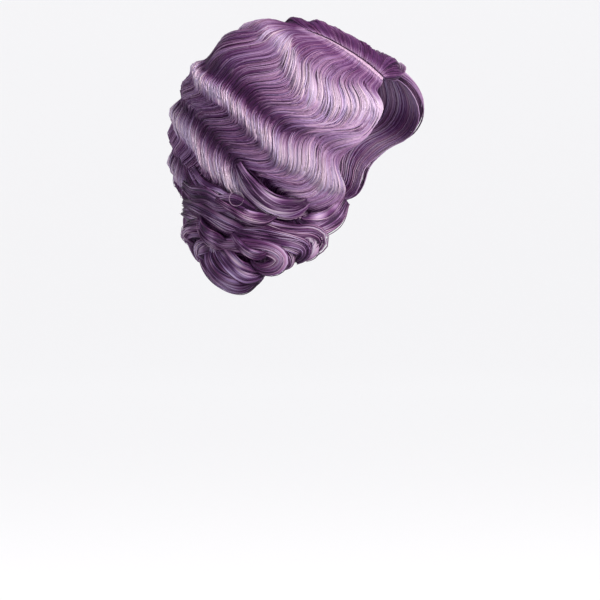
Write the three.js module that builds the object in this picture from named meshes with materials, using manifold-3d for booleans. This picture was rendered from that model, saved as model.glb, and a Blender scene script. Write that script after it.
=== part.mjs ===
// A short finger-waved wig: a stretch cap, a pale parting strip, five sections of waved hair that
// spring from the parting, and three groups of curls sewn round the lower back edge of the cap.
// Millimetres. +X is the way the wearer looks, +Y the wearer's left, +Z up.
// The origin is the inside of the cap's crown, where it sits on the top of the head.
import * as THREE from "three";
import { mergeVertices } from "three/addons/utils/BufferGeometryUtils.js";
import Module from "manifold-3d";

const wasm = await Module();
wasm.setup();

// Driving dimensions
const HEAD = { halfLength: 102, halfWidth: 76, halfHeight: 108 }; // the head that the cap fits
const CAP_WALL = 1.5;
const SEAM_GAP = 1.1; // hair roots over the cap, so that the facets of both stay clear
const SECTION_GAP = 0.3; // between two hair sections
const HAIR_HALF_WIDTH = 92; // of the waved hair, over the ears
const FRONT_NARROWING = 9; // how much less that is towards the face
const HEM_THICKNESS = 7;
const MOST_THICKNESS = 13; // where the hair stands off the cap
const HEM_WIDTH = 350; // all the way round
const EDGE_THICKNESS = 2.6; // of the hair along the face and at the hem
const ROOT_THICKNESS = 1.0;
const ROOT_RISE = { right: 46, left: 28 }; // how far from the parting the hair is at its full depth
const PARTING = {
  front: { azimuth: -22, elevation: 37 },
  middle: { azimuth: -40, elevation: 58.5 },
  back: { azimuth: -73, elevation: 78 },
  halfWidth: 4.2, // at the forehead
  narrowing: 0.4, // the share of that width left at the crown
  thickness: 1.0,
  lift: 0.3,
};
const WAVE = {
  ridge: 7.6, // from the bottom of a trough to the top of a ridge
  rootHalf: 42, // length of half a wave above the first swell
  half: 23, // and below the last crest that the table places
  crestBeforeTurn: 0.3, // of half a wave
  leftSwing: 0.7, // of the swing on the right
  edgeSwell: 0.45, // of the first swell, along the right face edge
};
const LOCK = { count: 22, groove: 2.4, samples: 3 };
const ALONG = { outer: 32, inner: 16 }; // steps from root to hem
const CURL = {
  count: 14,
  above: 8.5, // degrees from the cap's edge up to the roots
  groove: 4,
  scallop: 0.13, // share of the length that a lock's sides fall short of its tip
  rootDepth: 2, // half thicknesses
  depth: 6,
  endDepth: 2.2,
};
const CURL_ALONG = { outer: 14, inner: 7 };

// Rows of a table as objects with named columns
function table(columns, ...rows) {
  const names = columns.split(" ");
  return rows.map((row) => Object.fromEntries(row.map((value, i) => [names[i], value])));
}

// Outline of the hair in the plane between the eyes: angle up from the face, radius from the head's middle
const HAIR_PROFILE = table(
  "angle radius",
  [-60, 108], [0, 113], [30, 123], [60, 109.5], [90, 116.5], [120, 120],
  [150, 119], [180, 116], [210, 114], [240, 111], [300, 108],
);

// Lower edge of the cap from the forehead round either ear to the nape
const CAP_EDGE = table(
  "azimuth elevation",
  [0, 41], [25, 36], [45, 16], [66, -4], [90, -11], [120, -30], [150, -41], [180, -44],
);

// Strands in order round the parting, from the right face edge (0) over the back to the left one (1).
// along: where the root sits on the parting, 0 at the forehead. turn: the way it leaves the parting,
// -90 to the right, 0 to the back, 90 to the left. via and hem: azimuth and elevation half way down and
// at the end. swell, trough, ridge, dip and crest: how far down the strand it swings to the front,
// the back, the front, the back and the front again. lift: how far it stands off half way.
const STRANDS = table(
  "at along turn viaAz viaEl hemAz hemEl swell trough ridge dip crest lift",
  [0.0, 0.0, -90, -57, -3, -70, -46, 60, 104, 134, 165, 180, 0],
  [0.11, 0.12, -95, -75, -5, -118, -33, 62, 103, 136, 171, 192, 0],
  [0.195, 0.32, -100, -93, 5, -135, -30, 73, 109, 137, 166, 189, 0],
  [0.27, 0.52, -100, -110, 14, -151, -29, 80, 111, 133, 161, 186, 0],
  [0.335, 0.75, -95, -123, 23, -162, -29, 68, 105, 126, 153, 183, 0],
  [0.42, 0.97, -80, -149, 30, -171, -29, 48, 103, 122, 145, 171, 0],
  [0.5, 1.0, 0, -180, 36, -180, -29, 46, 102, 121, 144, 168, 0],
  [0.58, 0.97, 80, -211, 31, -186, -29, 80, 128, 151, 175, 200, 0],
  [0.665, 0.75, 88, -232, 30, -199, -29, 116, 155, 180, 209, 235, 0],
  [0.73, 0.52, 92, -246, 29, -210, -30, 140, 178, 203, 233, 258, 0],
  [0.805, 0.32, 95, -262, 27, -226, -31, 132, 172, 202, 236, 261, 0],
  [0.89, 0.12, 95, -281, 24, -242, -34, 105, 150, 185, 222, 248, 4],
  [1.0, 0.0, 90, -334, 13, -291, -40, 52, 108, 150, 186, 212, 28],
);

// How far beside its mean way a strand lies at each turn: swell is -2, trough -1, ridge 0 and so on
const SWING = table(
  "turn beside",
  [-5, 4], [-4, -4], [-3, 6], [-2, -16], [-1, 8], [0, -9],
  [1, 16], [2, -6], [3, 6], [4, -5], [5, 5], [6, -5],
);

// Height of the hair through one wave, from one crest (0) to the next (2)
const RELIEF = table("turn height", [0, 1], [0.3, 0.45], [0.8, 0.78], [1.3, 0], [2, 1]);

// Curls of one side, from the cheek (0) to the middle of the nape (1). root: azimuth on the cap's edge.
// Then three stations: azimuth, radius from the head's upright axis and how low below its middle.
const CURLS = table(
  "at root az1 r1 low1 az2 r2 low2 az3 r3 low3",
  [0.0, 93, 87, 66, 63, 76, 80, 82, 91, 71, 102],
  [0.2, 109, 105, 70, 60, 97, 84, 84, 101, 69, 108],
  [0.4, 126, 124, 81, 59, 119, 90, 86, 111, 69, 114],
  [0.6, 143, 143, 92, 59, 142, 87, 91, 128, 64, 124],
  [0.8, 160, 161, 98, 57.5, 159, 82, 96, 150, 58, 128],
  [1.0, 180, 180, 99, 58, 180, 82, 97, 180, 58, 128],
);

const HAIR_SECTIONS = [
  { name: "front_wave_right", first: 0, last: 3 },
  { name: "side_wave_right", first: 3, last: 8 },
  { name: "back_wave", first: 8, last: 14 },
  { name: "side_wave_left", first: 14, last: 19 },
  { name: "front_wave_left", first: 19, last: 22 },
];
const CURL_SECTIONS = [
  { name: "curls_right", first: 0, last: 4 },
  { name: "curls_nape", first: 4, last: 10 },
  { name: "curls_left", first: 10, last: 14 },
];

const hairMaterial = new THREE.MeshStandardMaterial({ color: 0x8d6a97, roughness: 0.38, metalness: 0 });
const curlMaterial = new THREE.MeshStandardMaterial({ color: 0x755382, roughness: 0.42, metalness: 0 });
const capMaterial = new THREE.MeshStandardMaterial({ color: 0x4a3454, roughness: 0.85, metalness: 0 });
const partingMaterial = new THREE.MeshStandardMaterial({ color: 0xcdb2d2, roughness: 0.6, metalness: 0 });

const { clamp, degToRad, lerp, smoothstep } = THREE.MathUtils;
const middle = new THREE.Vector3(0, 0, -HEAD.halfHeight); // of the head

// A value from a table, read smoothly between rows
function read(table, key, column, x) {
  let i = 0;
  while (i < table.length - 2 && x > table[i + 1][key]) i += 1;
  const [a, b] = [table[i], table[i + 1]];
  const before = table[Math.max(i - 1, 0)];
  const after = table[Math.min(i + 2, table.length - 1)];
  const span = b[key] - a[key];
  const t = clamp((x - a[key]) / span, 0, 1);
  const slopeA = ((b[column] - before[column]) / (b[key] - before[key])) * span;
  const slopeB = ((after[column] - a[column]) / (after[key] - a[key])) * span;
  const t2 = t * t;
  const t3 = t2 * t;
  return (
    (2 * t3 - 3 * t2 + 1) * a[column] +
    (t3 - 2 * t2 + t) * slopeA +
    (3 * t2 - 2 * t3) * b[column] +
    (t3 - t2) * slopeB
  );
}

function readRow(table, x) {
  const row = {};
  for (const column of Object.keys(table[0])) row[column] = read(table, "at", column, x);
  return row;
}

// A value from a table, level at each row and evenly bent between them
function eased(table, column, x) {
  let i = 0;
  while (i < table.length - 2 && x > table[i + 1].turn) i += 1;
  const [a, b] = [table[i], table[i + 1]];
  const t = clamp((x - a.turn) / (b.turn - a.turn), 0, 1);
  return lerp(a[column], b[column], t < 0.5 ? 2 * t * t : 1 - 2 * (1 - t) * (1 - t));
}

function direction(azimuth, elevation) {
  const a = degToRad(azimuth);
  const e = degToRad(elevation);
  return new THREE.Vector3(Math.cos(e) * Math.cos(a), Math.cos(e) * Math.sin(a), Math.sin(e));
}

function headRadius(d) {
  return 1 / Math.hypot(d.x / HEAD.halfLength, d.y / HEAD.halfWidth, d.z / HEAD.halfHeight);
}

function capRadius(d) {
  return headRadius(d) + CAP_WALL;
}

// Smooth outer form of the hair, before its waves
function hairRadius(d) {
  let angle = THREE.MathUtils.radToDeg(Math.atan2(d.z, d.x));
  if (angle < -60) angle += 360;
  const profile = read(HAIR_PROFILE, "angle", "radius", angle);
  const halfWidth = HAIR_HALF_WIDTH - FRONT_NARROWING * Math.max(d.x, 0);
  return 1 / Math.hypot(Math.hypot(d.x, d.z) / profile, d.y / halfWidth);
}

function at(d, radius) {
  return d.clone().multiplyScalar(radius).add(middle);
}

// Way on a bent line through three ways, t from 0 at the first to 1 at the last
function through(first, half, last, t) {
  return new THREE.Vector3()
    .addScaledVector(first, 1 - 3 * t + 2 * t * t)
    .addScaledVector(half, 4 * t - 4 * t * t)
    .addScaledVector(last, 2 * t * t - t)
    .normalize();
}

// Point of the parting on the cap, with the ways to its left and to its back end
function partingFrame(along) {
  const [front, half, back] = [PARTING.front, PARTING.middle, PARTING.back].map((end) =>
    direction(end.azimuth, end.elevation),
  );
  const place = (f) => {
    const d = through(front, half, back, f);
    return d.multiplyScalar(capRadius(d));
  };
  const step = 0.02;
  const point = place(along);
  const backwards = place(along + step).sub(place(along - step)).normalize();
  const left = backwards.clone().cross(point).normalize();
  return { point, backwards, left };
}

function partingHalfWidth(along) {
  return PARTING.halfWidth * lerp(1, PARTING.narrowing, along);
}

// Way from the head's middle to a strand's smooth path, t from 0 at the root to 1 at the hem
function strandPath(row) {
  const onParting = clamp(row.along, 0, 1);
  const { point, backwards, left } = partingFrame(onParting);
  const turn = degToRad(row.turn);
  const offset = partingHalfWidth(onParting) + SECTION_GAP;
  const root = point
    .addScaledVector(left, Math.sin(turn) * offset)
    .addScaledVector(backwards, Math.cos(turn) * offset)
    .normalize();
  const via = direction(row.viaAz, row.viaEl);
  const hem = direction(row.hemAz, row.hemEl);
  return (t) => through(root, via, hem, t);
}

// Lengths along a strand's path, so that its waves keep their size
function strandLengths(way, steps = 60) {
  const lengths = [0];
  let last = at(way(0), hairRadius(way(0)));
  for (let i = 1; i <= steps; i += 1) {
    const d = way(i / steps);
    const next = at(d, hairRadius(d));
    lengths.push(lengths[i - 1] + next.distanceTo(last));
    last = next;
  }
  return lengths;
}

// How many half waves a strand has made at length s, counted from its main ridge
function waveTurns(s, { swell, trough, ridge, dip, crest }) {
  const places = [swell - WAVE.rootHalf, swell, trough, ridge, dip, crest, crest + WAVE.half];
  let i = 1;
  while (i < places.length - 1 && s > places[i]) i += 1;
  return i - 4 + (s - places[i - 1]) / (places[i] - places[i - 1]);
}

// Height from 0 in a trough to 1 on a crest, which comes a little before the forward turn
function waveHeight(turns) {
  return eased(RELIEF, "height", THREE.MathUtils.euclideanModulo(turns + WAVE.crestBeforeTurn, 2));
}

// How far the hair has reached its full depth at a place: rounded along the face and at the hem
function fullness(u, s, length) {
  const fromFace = Math.min(u, 1 - u) * HEM_WIDTH;
  const round = (x, r) => Math.sqrt(1 - Math.pow(1 - clamp(x / r, 0, 1), 2));
  return round(fromFace, 16) * round(length - s, 18);
}

// Outer and inner points of one strand at equal steps from root to hem; grow swells it on every side
function hairStrand(u, shift, grow) {
  const row = readRow(STRANDS, u);
  const way = strandPath(row);
  const lengths = strandLengths(way);
  const total = lengths[lengths.length - 1];
  const tAt = (s) => {
    let i = 1;
    while (i < lengths.length - 1 && lengths[i] < s) i += 1;
    const share = (s - lengths[i - 1]) / (lengths[i] - lengths[i - 1]);
    return (i - 1 + share) / (lengths.length - 1);
  };
  const inLock = Math.abs(Math.sin(Math.PI * u * LOCK.count));
  const swing = lerp(1, WAVE.leftSwing, smoothstep(u, 0.5, 0.7));
  const swell = lerp(WAVE.edgeSwell, 1, smoothstep(u, 0, 0.12));
  const rise = lerp(ROOT_RISE.right, ROOT_RISE.left, smoothstep(u, 0.4, 0.6));
  const outer = [];
  const inner = [];
  for (let j = 0; j <= ALONG.outer; j += 1) {
    const s = (total * j) / ALONG.outer + (j === ALONG.outer ? 2 * grow : 0);
    const t = tAt(s);
    const smooth = way(t);
    const along = way(Math.min(t + 0.01, 1)).sub(way(Math.max(t - 0.01, 0)));
    const side = along.cross(smooth).normalize();
    const down = j / ALONG.outer;
    const risen = smoothstep(s, 0, rise);
    const turns = waveTurns(s, row);
    const loose = smoothstep(s, 0, 30) * (1 - 0.5 * smoothstep(down, 0.8, 1));
    const beside = eased(SWING, "beside", turns);
    const sway = beside * loose * swing * (turns < -1 && beside < 0 ? swell : 1);
    const d = smooth
      .multiplyScalar(hairRadius(smooth))
      .addScaledVector(side, sway + shift)
      .normalize();
    const cap = capRadius(d);
    const off = smoothstep(down, 0.14, 0.48) * (1 - smoothstep(down, 0.52, 0.82));
    const full = hairRadius(d) + row.lift * off;
    const low = 1 - smoothstep(d.z, Math.sin(degToRad(-6)), Math.sin(degToRad(14)));
    const under = Math.max(lerp(cap + SEAM_GAP, full - HEM_THICKNESS, low), full - MOST_THICKNESS);
    const groove = LOCK.groove * (1 - Math.sqrt(inLock)) * smoothstep(s, 15, 60);
    const wave = WAVE.ridge * (waveHeight(turns) - 0.5) * risen;
    const edge = lerp(ROOT_THICKNESS, EDGE_THICKNESS, risen);
    const spare = full + wave - groove - under - edge;
    const deep = edge + Math.max(spare, 0) * risen * fullness(u, s, total);
    outer.push(at(d, under + deep + grow));
    inner.push(at(d, under - grow));
  }
  return { outer, inner };
}

// Outer and inner points of one strand of the curls; v runs from the right cheek (0) to the left one (1)
function curlStrand(v, shift) {
  const mirror = v < 0.5 ? -1 : 1;
  const row = readRow(CURLS, 1 - Math.abs(1 - 2 * v));
  const edge = read(CAP_EDGE, "azimuth", "elevation", row.root);
  const rootWay = direction(mirror * row.root, edge + CURL.above);
  const root = rootWay.multiplyScalar(capRadius(rootWay) + SEAM_GAP + CURL.rootDepth);
  const stations = [1, 2, 3].map((k) => {
    const azimuth = degToRad(row[`az${k}`]);
    const out = row[`r${k}`];
    return new THREE.Vector3(out * Math.cos(azimuth), mirror * out * Math.sin(azimuth), -row[`low${k}`]);
  });
  const path = new THREE.CatmullRomCurve3([root, ...stations], false, "centripetal");
  const inLock = Math.abs(Math.sin(Math.PI * v * CURL.count));
  const reach = 1 - CURL.scallop * (1 - Math.sqrt(inLock));
  const outer = [];
  const inner = [];
  for (let j = 0; j <= CURL_ALONG.outer; j += 1) {
    const t = (reach * j) / CURL_ALONG.outer;
    const tangent = path.getTangent(t);
    const centre = path.getPoint(t);
    const flat = centre.clone().setZ(0.4 * centre.z).normalize();
    const side = tangent.clone().cross(flat).normalize();
    const out = side.clone().cross(tangent).normalize();
    const face = Math.min(1, Math.min(v, 1 - v) * CURL.count);
    const swelled = lerp(CURL.rootDepth, CURL.depth, smoothstep(t, 0.25, 0.55));
    const depth = lerp(swelled, CURL.endDepth, smoothstep(t, 0.65, 1)) * lerp(0.5, 1, face);
    const grown = smoothstep(t, 0.25, 0.55) * (1 - smoothstep(t, 0.7, 1));
    const groove = CURL.groove * (1 - Math.sqrt(inLock)) * grown;
    centre.addScaledVector(side, shift).add(middle);
    outer.push(centre.clone().addScaledVector(out, depth - groove));
    inner.push(centre.clone().addScaledVector(out, -depth));
  }
  return { outer, inner };
}

function geometryOf({ points, triangles }) {
  const geometry = new THREE.BufferGeometry().setFromPoints(points);
  geometry.setIndex(triangles);
  geometry.computeVertexNormals();
  return geometry;
}

// Joins two rows of points side by side, the second with fewer points
function zip(rowA, rowB, triangles, turned) {
  const add = (p, q, r) => (turned ? triangles.push(p, r, q) : triangles.push(p, q, r));
  const [lastA, lastB] = [rowA.length - 1, rowB.length - 1];
  let a = 0;
  let b = 0;
  while (a < lastA || b < lastB) {
    if (b === lastB || (a < lastA && (2 * a + 1) * lastB <= (2 * b + 1) * lastA)) {
      add(rowA[a], rowB[b], rowA[a + 1]);
      a += 1;
    } else {
      add(rowA[a], rowB[b], rowB[b + 1]);
      b += 1;
    }
  }
}

// Closed wall between rows of outer points and rows of fewer inner points
function wall(rows, outerSteps, innerSteps) {
  const points = [];
  const triangles = [];
  const keep = (point) => points.push(point) - 1;
  const outerRows = rows.map(({ outer }) => outer.map(keep));
  const every = outerSteps / innerSteps;
  const innerRows = rows.map(({ inner }) => inner.filter((_, j) => j % every === 0).map(keep));
  const [m, n, across] = [outerSteps, innerSteps, rows.length - 1];
  for (let i = 0; i < across; i += 1) {
    const [a, b] = [outerRows[i], outerRows[i + 1]];
    const [c, d] = [innerRows[i], innerRows[i + 1]];
    for (let j = 0; j < m; j += 1) triangles.push(a[j], b[j], a[j + 1], b[j], b[j + 1], a[j + 1]);
    for (let j = 0; j < n; j += 1) triangles.push(c[j], c[j + 1], d[j], d[j], c[j + 1], d[j + 1]);
    triangles.push(a[0], c[0], b[0], b[0], c[0], d[0]);
    triangles.push(a[m], b[m], c[n], b[m], d[n], c[n]);
  }
  zip(outerRows[0], innerRows[0], triangles, true);
  zip(outerRows[across], innerRows[across], triangles, false);
  return { points, triangles };
}

// Samples across a run of locks, the first and last drawn in to leave a gap
function across({ first, last }, count, samples, grow, make) {
  const steps = (last - first) * samples;
  return Array.from({ length: steps + 1 }, (_, i) => {
    const shift = ((i === 0) - (i === steps)) * (SECTION_GAP / 2 - grow);
    return make((first + i / samples) / count, shift, grow);
  });
}

function hairWall(run, grow) {
  return wall(across(run, LOCK.count, LOCK.samples, grow, hairStrand), ALONG.outer, ALONG.inner);
}

function curlWall(run) {
  return wall(across(run, CURL.count, LOCK.samples, 0, curlStrand), CURL_ALONG.outer, CURL_ALONG.inner);
}

function node(name, geometry, material) {
  const mesh = new THREE.Mesh(geometry, material);
  mesh.name = name;
  return mesh;
}

// The stretch cap: an open shell from the crown down to its edge, or the room that it takes up
function capShell(grow) {
  const around = 40;
  const down = 11;
  const points = [];
  const triangles = [];
  const rings = { inside: [], outside: [] };
  for (const [side, wall] of [["inside", -grow], ["outside", CAP_WALL + grow]]) {
    const crown = points.push(at(direction(0, 90), HEAD.halfHeight + wall)) - 1;
    const ringsHere = rings[side];
    for (let j = 1; j <= down; j += 1) {
      const ring = [];
      for (let i = 0; i < around; i += 1) {
        const azimuth = (360 * i) / around;
        const edge = read(CAP_EDGE, "azimuth", "elevation", Math.min(azimuth, 360 - azimuth)) - grow;
        const d = direction(azimuth, lerp(90, edge, j / down));
        ring.push(points.push(at(d, headRadius(d) + wall)) - 1);
      }
      ringsHere.push(ring);
    }
    const turn = (a, b, c) => (side === "outside" ? triangles.push(a, b, c) : triangles.push(a, c, b));
    for (let i = 0; i < around; i += 1) {
      const k = (i + 1) % around;
      turn(crown, ringsHere[0][i], ringsHere[0][k]);
      for (let j = 0; j + 1 < down; j += 1) {
        turn(ringsHere[j][i], ringsHere[j + 1][i], ringsHere[j + 1][k]);
        turn(ringsHere[j][i], ringsHere[j + 1][k], ringsHere[j][k]);
      }
    }
  }
  const [low, high] = [rings.inside[down - 1], rings.outside[down - 1]];
  for (let i = 0; i < around; i += 1) {
    const k = (i + 1) % around;
    triangles.push(high[i], low[i], low[k], high[i], low[k], high[k]);
  }
  return { points, triangles };
}

// A pale strip on the cap between the roots, narrowing to the crown
function partingStrip() {
  const steps = 20;
  const points = [];
  const triangles = [];
  for (let i = 0; i <= steps; i += 1) {
    const along = i / steps;
    const { point, left } = partingFrame(along);
    const half = partingHalfWidth(along) - SECTION_GAP / 2;
    for (const [side, lift] of [[-1, 0], [1, 0], [1, PARTING.thickness], [-1, PARTING.thickness]]) {
      const d = point.clone().addScaledVector(left, side * half).normalize();
      points.push(at(d, capRadius(d) + PARTING.lift + lift));
    }
    if (i === 0) continue;
    const [now, last] = [4 * i, 4 * i - 4];
    for (let k = 0; k < 4; k += 1) {
      const n = (k + 1) % 4;
      triangles.push(last + k, now + k, last + n, last + n, now + k, now + n);
    }
  }
  triangles.push(0, 1, 2, 0, 2, 3);
  const end = 4 * steps;
  triangles.push(end, end + 2, end + 1, end, end + 3, end + 2);
  return { points, triangles };
}

function solidOf({ points, triangles }) {
  const vertProperties = new Float32Array(points.flatMap((p) => [p.x, p.y, p.z]));
  const mesh = new wasm.Mesh({ numProp: 3, vertProperties, triVerts: new Uint32Array(triangles) });
  return new wasm.Manifold(mesh);
}

// What is left of a solid clear of its neighbours, as one body
function clearOf(solid, room) {
  const pieces = solid.subtract(room).decompose();
  const mesh = pieces.reduce((a, b) => (a.volume() > b.volume() ? a : b)).getMesh();
  const geometry = new THREE.BufferGeometry();
  geometry.setAttribute("position", new THREE.Float32BufferAttribute(mesh.vertProperties, 3));
  geometry.setIndex(Array.from(mesh.triVerts));
  const joined = mergeVertices(geometry, 1e-4);
  joined.computeVertexNormals();
  return joined;
}

const wig = new THREE.Group();
const add = (name, faces, material) => wig.add(node(name, geometryOf(faces), material));
add("cap", capShell(0), capMaterial);
add("parting_strip", partingStrip(), partingMaterial);
for (const section of HAIR_SECTIONS) add(section.name, hairWall(section, 0), hairMaterial);
const hairRoom = solidOf(hairWall({ first: 0, last: LOCK.count }, 2 * SECTION_GAP));
const room = hairRoom.add(solidOf(capShell(SECTION_GAP)));
for (const section of CURL_SECTIONS) {
  wig.add(node(section.name, clearOf(solidOf(curlWall(section)), room), curlMaterial));
}
export default wig;
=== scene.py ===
import math

import bmesh
import bpy
import numpy as np
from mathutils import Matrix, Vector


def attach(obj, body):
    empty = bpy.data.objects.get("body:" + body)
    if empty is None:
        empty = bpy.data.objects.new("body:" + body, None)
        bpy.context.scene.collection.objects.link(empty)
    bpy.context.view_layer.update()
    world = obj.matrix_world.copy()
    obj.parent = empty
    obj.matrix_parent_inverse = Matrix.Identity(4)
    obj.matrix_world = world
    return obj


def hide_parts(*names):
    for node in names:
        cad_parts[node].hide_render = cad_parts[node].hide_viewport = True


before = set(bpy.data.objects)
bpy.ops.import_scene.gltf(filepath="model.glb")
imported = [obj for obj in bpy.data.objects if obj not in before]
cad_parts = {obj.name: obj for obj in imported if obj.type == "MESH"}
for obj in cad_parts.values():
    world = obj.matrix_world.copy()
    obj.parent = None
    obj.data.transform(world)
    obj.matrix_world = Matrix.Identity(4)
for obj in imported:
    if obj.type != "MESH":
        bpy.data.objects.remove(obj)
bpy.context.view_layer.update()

# Sizes in millimetres and degrees, measured from the middle of the cap's hollow.
# Right and left are the wig's own, as it is worn.
MM = 0.001
HOLLOW = np.array([102.0, 76.0, 108.0])  # half its length, width and height
MIDDLE = np.array([0.0, 0.0, -HOLLOW[2]])  # in the wig's frame, whose origin is on the crown
CAP_WALL = 1.5
SEAM_GAP = 1.1  # between the cap and the hair on it
SECTION_GAP = 0.3  # between the parting and the hair beside it
HAIR_HALF_WIDTH = 92.0
FRONT_NARROWING = 9.0  # how much less that is towards the front
HEM_THICKNESS = 7.0
MOST_THICKNESS = 13.0  # where the hair stands off the cap
HEM_WIDTH = 350.0  # all the way round
EDGE_THICKNESS = 2.6  # at the front edges and at the hem
EDGE_ROUND = 16.0  # how far from a front edge the hair is at its full depth
HEM_ROUND = 18.0  # and how far from the hem
OFF_CAP = (-6.0, 14.0)  # elevations between which the hair comes away from the cap
PARTING_STATIONS = ((-22.0, 37.0), (-40.0, 58.5), (-73.0, 78.0))  # azimuth and elevation
PARTING_HALF_WIDTH = 4.2  # at the front
PARTING_NARROWING = 0.4  # the share of that width left at the crown
PARTING_THICKNESS = 1.0
PARTING_LIFT = 0.3
ROOT_THICKNESS = 1.0
ROOT_RISE = (46.0, 28.0)  # how far right and left of the parting the hair is at its full depth
WAVE_RIDGE = 7.6  # from the bottom of a trough to the top of a ridge
ROOT_HALF_WAVE = 42.0  # length of half a wave above the first swell
HALF_WAVE = 23.0  # and below the last crest that the table places
HALF_WAVES_BEYOND = 5  # above and below those that the table places
SWAY_RISE = 30.0  # how far from the parting the hair swings fully
HEM_SWAY = 0.5  # the share of its swing left at the hem
LIFT_RISES = (0.14, 0.48)  # shares of a strand between which its lift comes
LIFT_FALLS = (0.52, 0.82)  # and goes
LOCK_COUNT = 22
LOCK_GROOVE = 2.4
GROOVE_RISES = (15.0, 60.0)  # how far from the parting a groove starts and is at its full depth
STRAND_POINTS = 61  # at which a strand's length is measured
STATION_POINTS = 20  # of a smooth way between two stations
CURL_COUNT = 14
CURL_ABOVE_EDGE = 8.5
CURL_ROOT_DEPTH = 2.0  # half the thickness at the roots
CURL_GROOVE = 4.0
CURL_SCALLOP = 0.13  # share of the length that a lock's sides fall short of its tip
CURL_LEAN = 0.4  # how much of the drop counts in the way outwards

WAVE_SEED = 11
CURL_SEED = 8


def table(columns, *rows):
    """A table of numbers as one array for each named column."""
    return dict(zip(columns.split(), np.array(rows, float).T))


# Outline of the hair in the middle plane
HAIR_PROFILE = table(
    "angle radius",
    (-60, 108), (0, 113), (30, 123), (60, 109.5), (90, 116.5), (120, 120),
    (150, 119), (180, 116), (210, 114), (240, 111), (300, 108),
)

# Lower edge of the cap from the front round either side to the nape
CAP_EDGE = table(
    "azimuth elevation",
    (0, 41), (25, 36), (45, 16), (66, -4), (90, -11), (120, -30), (150, -41), (180, -44),
)

# Strands in order round the parting, from the right front edge (0) over the back to the left one (1).
# along: where the root sits on the parting, 0 at the front. turn: the way it leaves the parting.
# via and hem: half way down and at the end. swell, trough, ridge, dip and crest: how far down the
# strand it swings to the front, the back, the front, the back and the front again.
# lift: how far it stands off half way.
STRANDS = table(
    "at along turn via_az via_el hem_az hem_el swell trough ridge dip crest lift",
    (0.000, 0.00, -90, -57, -3, -70, -46, 60, 104, 134, 165, 180, 0),
    (0.110, 0.12, -95, -75, -5, -118, -33, 62, 103, 136, 171, 192, 0),
    (0.195, 0.32, -100, -93, 5, -135, -30, 73, 109, 137, 166, 189, 0),
    (0.270, 0.52, -100, -110, 14, -151, -29, 80, 111, 133, 161, 186, 0),
    (0.335, 0.75, -95, -123, 23, -162, -29, 68, 105, 126, 153, 183, 0),
    (0.420, 0.97, -80, -149, 30, -171, -29, 48, 103, 122, 145, 171, 0),
    (0.500, 1.00, 0, -180, 36, -180, -29, 46, 102, 121, 144, 168, 0),
    (0.580, 0.97, 80, -211, 31, -186, -29, 80, 128, 151, 175, 200, 0),
    (0.665, 0.75, 88, -232, 30, -199, -29, 116, 155, 180, 209, 235, 0),
    (0.730, 0.52, 92, -246, 29, -210, -30, 140, 178, 203, 233, 258, 0),
    (0.805, 0.32, 95, -262, 27, -226, -31, 132, 172, 202, 236, 261, 0),
    (0.890, 0.12, 95, -281, 24, -242, -34, 105, 150, 185, 222, 248, 4),
    (1.000, 0.00, 90, -334, 13, -291, -40, 52, 108, 150, 186, 212, 28),
)
# How far beside its mean way a strand lies at each turn: swell is -2, trough -1, ridge 0 and so on
SWING = table(
    "turn beside",
    (-5, 4), (-4, -4), (-3, 6), (-2, -16), (-1, 8), (0, -9),
    (1, 16), (2, -6), (3, 6), (4, -5), (5, 5), (6, -5),
)
# Height of the hair through one wave, from one ridge's crest (0) to the next (2)
RELIEF = table("turn height", (0, 1), (0.3, 0.45), (0.8, 0.78), (1.3, 0), (2, 1))
CREST_BEFORE_TURN = 0.3  # of half a wave
LEFT_SWING = 0.7  # of the swing on the right
EDGE_SWELL = 0.45  # of the first swell, along the right front edge
EDGE_SWELL_REACH = 0.12  # how far round the parting that is felt
# Places round the parting between which the right side's way of growing gives way to the left's
RISE_TURNS_LEFT = (0.4, 0.6)
SWING_TURNS_LEFT = (0.5, 0.7)
SHADE_TURNS_LEFT = (0.42, 0.58)

# Curtain of curls of one side, from its front end (0) to the middle of the nape (1).
# root: azimuth on the cap's edge. Then three stations: azimuth, radius and how low.
CURLS = table(
    "at root az1 r1 low1 az2 r2 low2 az3 r3 low3",
    (0.0, 93, 87, 66, 63, 76, 80, 82, 91, 71, 102),
    (0.2, 109, 105, 70, 60, 97, 84, 84, 101, 69, 108),
    (0.4, 126, 124, 81, 59, 119, 90, 86, 111, 69, 114),
    (0.6, 143, 143, 92, 59, 142, 87, 91, 128, 64, 124),
    (0.8, 160, 161, 98, 57.5, 159, 82, 96, 150, 58, 128),
    (1.0, 180, 180, 99, 58, 180, 82, 97, 180, 58, 128),
)

HAIR_SECTIONS = (
    ("front_wave_right", 0, 3),
    ("side_wave_right", 3, 8),
    ("back_wave", 8, 14),
    ("side_wave_left", 14, 19),
    ("front_wave_left", 19, 22),
)
CURL_SECTIONS = (("curls_right", 0, 4), ("curls_nape", 4, 10), ("curls_left", 10, 14))


# Shape of the hair

def read(rows, key, column, x):
    """A column of a table at x, smoothly between rows."""
    xs, ys = rows[key], rows[column]
    x = np.asarray(x, float)
    a = np.clip(np.searchsorted(xs, x) - 1, 0, len(xs) - 2)
    b = a + 1
    before, after = np.maximum(a - 1, 0), np.minimum(a + 2, len(xs) - 1)
    span = xs[b] - xs[a]
    t = np.clip((x - xs[a]) / span, 0, 1)
    slope_a = (ys[b] - ys[before]) / (xs[b] - xs[before]) * span
    slope_b = (ys[after] - ys[a]) / (xs[after] - xs[a]) * span
    return (
        (2 * t**3 - 3 * t**2 + 1) * ys[a] + (t**3 - 2 * t**2 + t) * slope_a
        + (3 * t**2 - 2 * t**3) * ys[b] + (t**3 - t**2) * slope_b
    )


def smooth(x, low, high):
    """0 below low, 1 above high, and an eased rise between them."""
    t = np.clip((x - low) / (high - low), 0, 1)
    return t * t * (3 - 2 * t)


def mix(a, b, share):
    return a + (b - a) * share


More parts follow.
